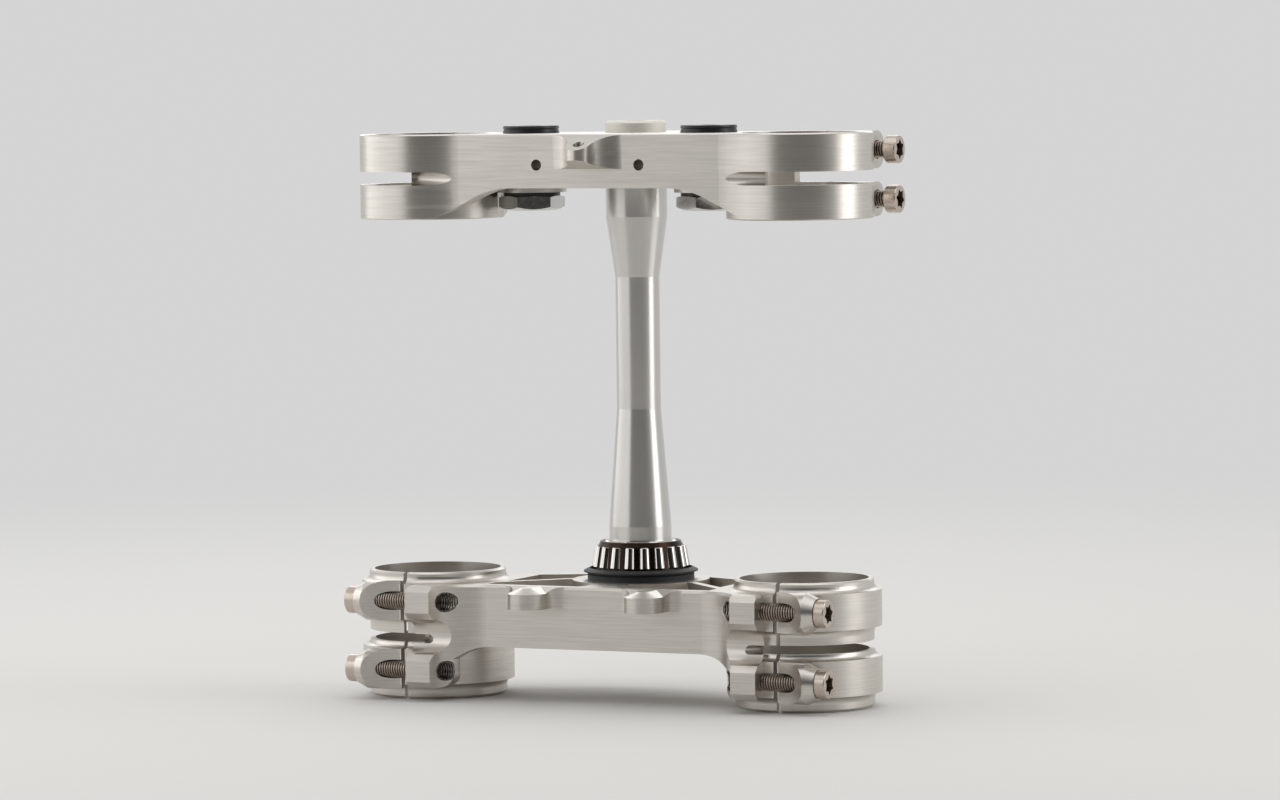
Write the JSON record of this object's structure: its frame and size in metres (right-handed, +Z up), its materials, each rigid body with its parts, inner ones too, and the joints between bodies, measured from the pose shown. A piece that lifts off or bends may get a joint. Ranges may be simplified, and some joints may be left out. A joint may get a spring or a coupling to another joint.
{
  "type": "motorcycle triple clamp",
  "caption": "Machined upper and lower fork clamps on a hollow steering stem, with a taper roller steering bearing, pinch bolts and rubber-bushed handlebar mounts.",
  "frame": {"origin": "centre of the stem's open lower end, on the steering axis", "axes": "+Z up along the steering axis, -Y towards the front where the fork legs stand, +X towards the viewer's right seen from the front"},
  "size_m": [0.262, 0.1021, 0.2711],
  "materials": {
    "machined_aluminium": "satin machined, clear anodised",
    "turned_aluminium": "satin turned",
    "bolt_steel": "satin plated",
    "sleeve_steel": "satin",
    "polished_steel": "polished",
    "bearing_steel": "ground and polished",
    "bearing_cage": "dark pressed steel",
    "seal_rubber": "matte",
    "bush_rubber": "matte with a glossy lip"
  },
  "bodies": {
    "triple_clamp": {"lower_clamp": "machined_aluminium", "upper_clamp": "machined_aluminium", "steering_stem": "turned_aluminium", "stem_top_bolt": "turned_aluminium", "stem_pinch_bolt": "bolt_steel", "lower_clamp_bolt_right_upper": "bolt_steel", "lower_clamp_bolt_right_lower": "bolt_steel", "lower_clamp_bolt_left_upper": "bolt_steel", "lower_clamp_bolt_left_lower": "bolt_steel", "upper_clamp_bolt_right_upper": "bolt_steel", "upper_clamp_bolt_right_lower": "bolt_steel", "upper_clamp_bolt_left_upper": "bolt_steel", "upper_clamp_bolt_left_lower": "bolt_steel", "bearing_inner_race": "bearing_steel", "dust_seal": "seal_rubber", "bar_mount_bush_upper_right": "bush_rubber", "bar_mount_bush_lower_right": "bush_rubber", "bar_mount_sleeve_right": "sleeve_steel", "bar_mount_nut_right": "polished_steel", "bar_mount_bush_upper_left": "bush_rubber", "bar_mount_bush_lower_left": "bush_rubber", "bar_mount_sleeve_left": "sleeve_steel", "bar_mount_nut_left": "polished_steel"},
    "bearing_cage": {"bearing_cage": "bearing_cage"},
    "bearing_roller_01": {"bearing_roller_01": "bearing_steel"},
    "bearing_roller_02": {"bearing_roller_02": "bearing_steel"},
    "bearing_roller_03": {"bearing_roller_03": "bearing_steel"},
    "bearing_roller_04": {"bearing_roller_04": "bearing_steel"},
    "bearing_roller_05": {"bearing_roller_05": "bearing_steel"},
    "bearing_roller_06": {"bearing_roller_06": "bearing_steel"},
    "bearing_roller_07": {"bearing_roller_07": "bearing_steel"},
    "bearing_roller_08": {"bearing_roller_08": "bearing_steel"},
    "bearing_roller_09": {"bearing_roller_09": "bearing_steel"},
    "bearing_roller_10": {"bearing_roller_10": "bearing_steel"},
    "bearing_roller_11": {"bearing_roller_11": "bearing_steel"},
    "bearing_roller_12": {"bearing_roller_12": "bearing_steel"},
    "bearing_roller_13": {"bearing_roller_13": "bearing_steel"},
    "bearing_roller_14": {"bearing_roller_14": "bearing_steel"},
    "bearing_roller_15": {"bearing_roller_15": "bearing_steel"},
    "bearing_roller_16": {"bearing_roller_16": "bearing_steel"},
    "bearing_roller_17": {"bearing_roller_17": "bearing_steel"},
    "bearing_roller_18": {"bearing_roller_18": "bearing_steel"}
  },
  "joints": [
    {"name": "bearing_spin", "type": "hinge", "parent": "triple_clamp", "child": "bearing_cage", "pos_m": [0, 0, 0.043], "axis": [0, 0, 1], "continuous": true},
    {"name": "roller_spin_01", "type": "hinge", "parent": "bearing_cage", "child": "bearing_roller_01", "pos_m": [0.02055, 0, 0.0379], "axis": [-0.1455, 0, 0.9894], "continuous": true},
    {"name": "roller_spin_02", "type": "hinge", "parent": "bearing_cage", "child": "bearing_roller_02", "pos_m": [0.01931, 0.00703, 0.0379], "axis": [-0.1367, -0.0498, 0.9894], "continuous": true},
    {"name": "roller_spin_03", "type": "hinge", "parent": "bearing_cage", "child": "bearing_roller_03", "pos_m": [0.01574, 0.01321, 0.0379], "axis": [-0.1115, -0.0935, 0.9894], "continuous": true},
    {"name": "roller_spin_04", "type": "hinge", "parent": "bearing_cage", "child": "bearing_roller_04", "pos_m": [0.01027, 0.0178, 0.0379], "axis": [-0.0727, -0.126, 0.9894], "continuous": true},
    {"name": "roller_spin_05", "type": "hinge", "parent": "bearing_cage", "child": "bearing_roller_05", "pos_m": [0.00357, 0.02024, 0.0379], "axis": [-0.0253, -0.1433, 0.9894], "continuous": true},
    {"name": "roller_spin_06", "type": "hinge", "parent": "bearing_cage", "child": "bearing_roller_06", "pos_m": [-0.00357, 0.02024, 0.0379], "axis": [0.0253, -0.1433, 0.9894], "continuous": true},
    {"name": "roller_spin_07", "type": "hinge", "parent": "bearing_cage", "child": "bearing_roller_07", "pos_m": [-0.01027, 0.0178, 0.0379], "axis": [0.0727, -0.126, 0.9894], "continuous": true},
    {"name": "roller_spin_08", "type": "hinge", "parent": "bearing_cage", "child": "bearing_roller_08", "pos_m": [-0.01574, 0.01321, 0.0379], "axis": [0.1115, -0.0935, 0.9894], "continuous": true},
    {"name": "roller_spin_09", "type": "hinge", "parent": "bearing_cage", "child": "bearing_roller_09", "pos_m": [-0.01931, 0.00703, 0.0379], "axis": [0.1367, -0.0498, 0.9894], "continuous": true},
    {"name": "roller_spin_10", "type": "hinge", "parent": "bearing_cage", "child": "bearing_roller_10", "pos_m": [-0.02055, 0, 0.0379], "axis": [0.1455, 0, 0.9894], "continuous": true},
    {"name": "roller_spin_11", "type": "hinge", "parent": "bearing_cage", "child": "bearing_roller_11", "pos_m": [-0.01931, -0.00703, 0.0379], "axis": [0.1367, 0.0498, 0.9894], "continuous": true},
    {"name": "roller_spin_12", "type": "hinge", "parent": "bearing_cage", "child": "bearing_roller_12", "pos_m": [-0.01574, -0.01321, 0.0379], "axis": [0.1115, 0.0935, 0.9894], "continuous": true},
    {"name": "roller_spin_13", "type": "hinge", "parent": "bearing_cage", "child": "bearing_roller_13", "pos_m": [-0.01027, -0.0178, 0.0379], "axis": [0.0727, 0.126, 0.9894], "continuous": true},
    {"name": "roller_spin_14", "type": "hinge", "parent": "bearing_cage", "child": "bearing_roller_14", "pos_m": [-0.00357, -0.02024, 0.0379], "axis": [0.0253, 0.1433, 0.9894], "continuous": true},
    {"name": "roller_spin_15", "type": "hinge", "parent": "bearing_cage", "child": "bearing_roller_15", "pos_m": [0.00357, -0.02024, 0.0379], "axis": [-0.0253, 0.1433, 0.9894], "continuous": true},
    {"name": "roller_spin_16", "type": "hinge", "parent": "bearing_cage", "child": "bearing_roller_16", "pos_m": [0.01027, -0.0178, 0.0379], "axis": [-0.0727, 0.126, 0.9894], "continuous": true},
    {"name": "roller_spin_17", "type": "hinge", "parent": "bearing_cage", "child": "bearing_roller_17", "pos_m": [0.01574, -0.01321, 0.0379], "axis": [-0.1115, 0.0935, 0.9894], "continuous": true},
    {"name": "roller_spin_18", "type": "hinge", "parent": "bearing_cage", "child": "bearing_roller_18", "pos_m": [0.01931, -0.00703, 0.0379], "axis": [-0.1367, 0.0498, 0.9894], "continuous": true}
  ]
}
